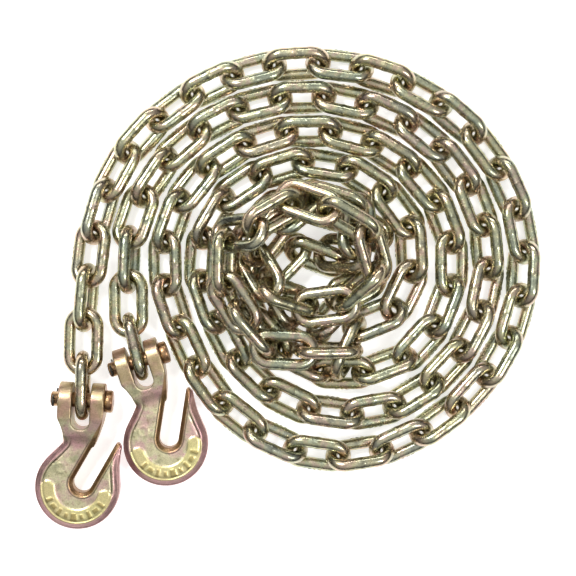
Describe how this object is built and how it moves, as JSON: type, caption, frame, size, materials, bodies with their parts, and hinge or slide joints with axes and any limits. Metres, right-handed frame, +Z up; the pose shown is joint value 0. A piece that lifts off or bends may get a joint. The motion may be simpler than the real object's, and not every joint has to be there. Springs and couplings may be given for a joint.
{
  "type": "safety chain hook",
  "caption": "Coiled round-link safety chain of plated steel with a clevis grab hook pinned to each end.",
  "frame": {"origin": "on the floor under the middle of the whole object's footprint", "axes": "+Z up from the floor that the chain is coiled on, +Y the way the first hook points, from its bowl towards its pin, +X to the right of that"},
  "size_m": [0.3624, 0.3458, 0.0646],
  "materials": {
    "chain_steel": "yellow chromate over zinc, semi-bright, olive to gold with pink edges",
    "hook_steel": "forged, yellow chromate over zinc, semi-bright pale gold with pink and brown edges",
    "pin_steel": "turned, yellow chromate over zinc, coppery gold",
    "cotter_steel": "drawn wire, dull grey"
  },
  "bodies": {
    "coil": {"chain_links_009_to_011": "chain_steel", "chain_links_012_to_014": "chain_steel", "chain_links_015_to_017": "chain_steel", "chain_links_018_to_020": "chain_steel", "chain_links_021_to_023": "chain_steel", "chain_links_024_to_026": "chain_steel", "chain_links_027_to_029": "chain_steel", "chain_links_030_to_032": "chain_steel", "chain_links_033_to_035": "chain_steel", "chain_links_036_to_038": "chain_steel", "chain_links_039_to_041": "chain_steel", "chain_links_042_to_044": "chain_steel", "chain_links_045_to_047": "chain_steel", "chain_links_048_to_050": "chain_steel", "chain_links_051_to_053": "chain_steel", "chain_links_054_to_056": "chain_steel", "chain_links_057_to_059": "chain_steel", "chain_links_060_to_062": "chain_steel", "chain_links_063_to_065": "chain_steel", "chain_links_066_to_068": "chain_steel", "chain_links_069_to_071": "chain_steel", "chain_links_072_to_074": "chain_steel", "chain_links_075_to_077": "chain_steel", "chain_links_078_to_080": "chain_steel", "chain_links_081_to_083": "chain_steel", "chain_links_084_to_086": "chain_steel", "chain_links_087_to_089": "chain_steel", "chain_links_090_to_092": "chain_steel", "chain_links_093_to_095": "chain_steel", "chain_links_096_to_098": "chain_steel", "chain_links_099_to_101": "chain_steel", "chain_links_102_to_104": "chain_steel", "chain_links_105_to_107": "chain_steel", "chain_links_108_to_110": "chain_steel", "chain_links_111_to_113": "chain_steel", "chain_links_114_to_115": "chain_steel"},
    "link_8": {"chain_link_008": "chain_steel"},
    "link_7": {"chain_link_007": "chain_steel"},
    "link_6": {"chain_link_006": "chain_steel"},
    "link_5": {"chain_link_005": "chain_steel"},
    "link_4": {"chain_link_004": "chain_steel"},
    "link_3": {"chain_link_003": "chain_steel"},
    "link_2": {"chain_link_002": "chain_steel"},
    "link_1": {"chain_link_001": "chain_steel"},
    "hook_a": {"grab_hook_a": "hook_steel"},
    "pin_a": {"clevis_pin_a": "pin_steel", "cotter_pin_a": "cotter_steel"},
    "link_116": {"chain_link_116": "chain_steel"},
    "hook_b": {"grab_hook_b": "hook_steel"},
    "pin_b": {"clevis_pin_b": "pin_steel", "cotter_pin_b": "cotter_steel"}
  },
  "joints": [
    {"name": "link_8_lift", "type": "hinge", "parent": "coil", "child": "link_8", "pos_m": [-0.069, 0.13964, 0.01196], "axis": [-0.5198, 0.8543, 0], "range_deg": [0, 12]},
    {"name": "link_7_lift", "type": "hinge", "parent": "link_8", "child": "link_7", "pos_m": [-0.09416, 0.12079, 0.01346], "axis": [-0.6768, 0.7361, 0], "range_deg": [0, 12]},
    {"name": "link_6_lift", "type": "hinge", "parent": "link_7", "child": "link_6", "pos_m": [-0.11571, 0.09781, 0.01183], "axis": [-0.8164, 0.5775, 0], "range_deg": [0, 12]},
    {"name": "link_5_lift", "type": "hinge", "parent": "link_6", "child": "link_5", "pos_m": [-0.13071, 0.07021, 0.01318], "axis": [-0.9256, 0.3785, 0], "range_deg": [0, 11]},
    {"name": "link_4_lift", "type": "hinge", "parent": "link_5", "child": "link_4", "pos_m": [-0.13901, 0.04244, 0.014], "axis": [-0.98, 0.1991, 0], "range_deg": [0, 11]},
    {"name": "link_3_lift", "type": "hinge", "parent": "link_4", "child": "link_3", "pos_m": [-0.14329, 0.00625, 0.01489], "axis": [-0.9946, 0.1034, 0], "range_deg": [0, 16]},
    {"name": "link_2_lift", "type": "hinge", "parent": "link_3", "child": "link_2", "pos_m": [-0.14586, -0.01996, 0.01528], "axis": [-0.9985, 0.0553, 0], "range_deg": [0, 16]},
    {"name": "link_1_lift", "type": "hinge", "parent": "link_2", "child": "link_1", "pos_m": [-0.14674, -0.05892, 0.01556], "axis": [-0.9999, 0.0172, 0], "range_deg": [0, 60]},
    {"name": "hook_a_swing", "type": "hinge", "parent": "link_1", "child": "hook_a", "pos_m": [-0.14686, -0.0801, 0.0156], "axis": [-0.9985, 0.0548, 0], "range_deg": [0, 100]},
    {"name": "pin_a_spin", "type": "hinge", "parent": "hook_a", "child": "pin_a", "pos_m": [-0.14686, -0.0801, 0.0156], "axis": [0.9985, -0.0548, 0], "continuous": true},
    {"name": "link_116_lift", "type": "hinge", "parent": "coil", "child": "link_116", "pos_m": [-0.1137, -0.03166, 0.01503], "axis": [-0.9918, -0.1279, 0], "range_deg": [0, 30]},
    {"name": "hook_b_swing", "type": "hinge", "parent": "link_116", "child": "hook_b", "pos_m": [-0.10654, -0.05197, 0.01579], "axis": [-0.95, -0.3122, 0], "range_deg": [0, 90]},
    {"name": "pin_b_spin", "type": "hinge", "parent": "hook_b", "child": "pin_b", "pos_m": [-0.10654, -0.05197, 0.01579], "axis": [0.95, 0.3122, 0], "continuous": true}
  ]
}
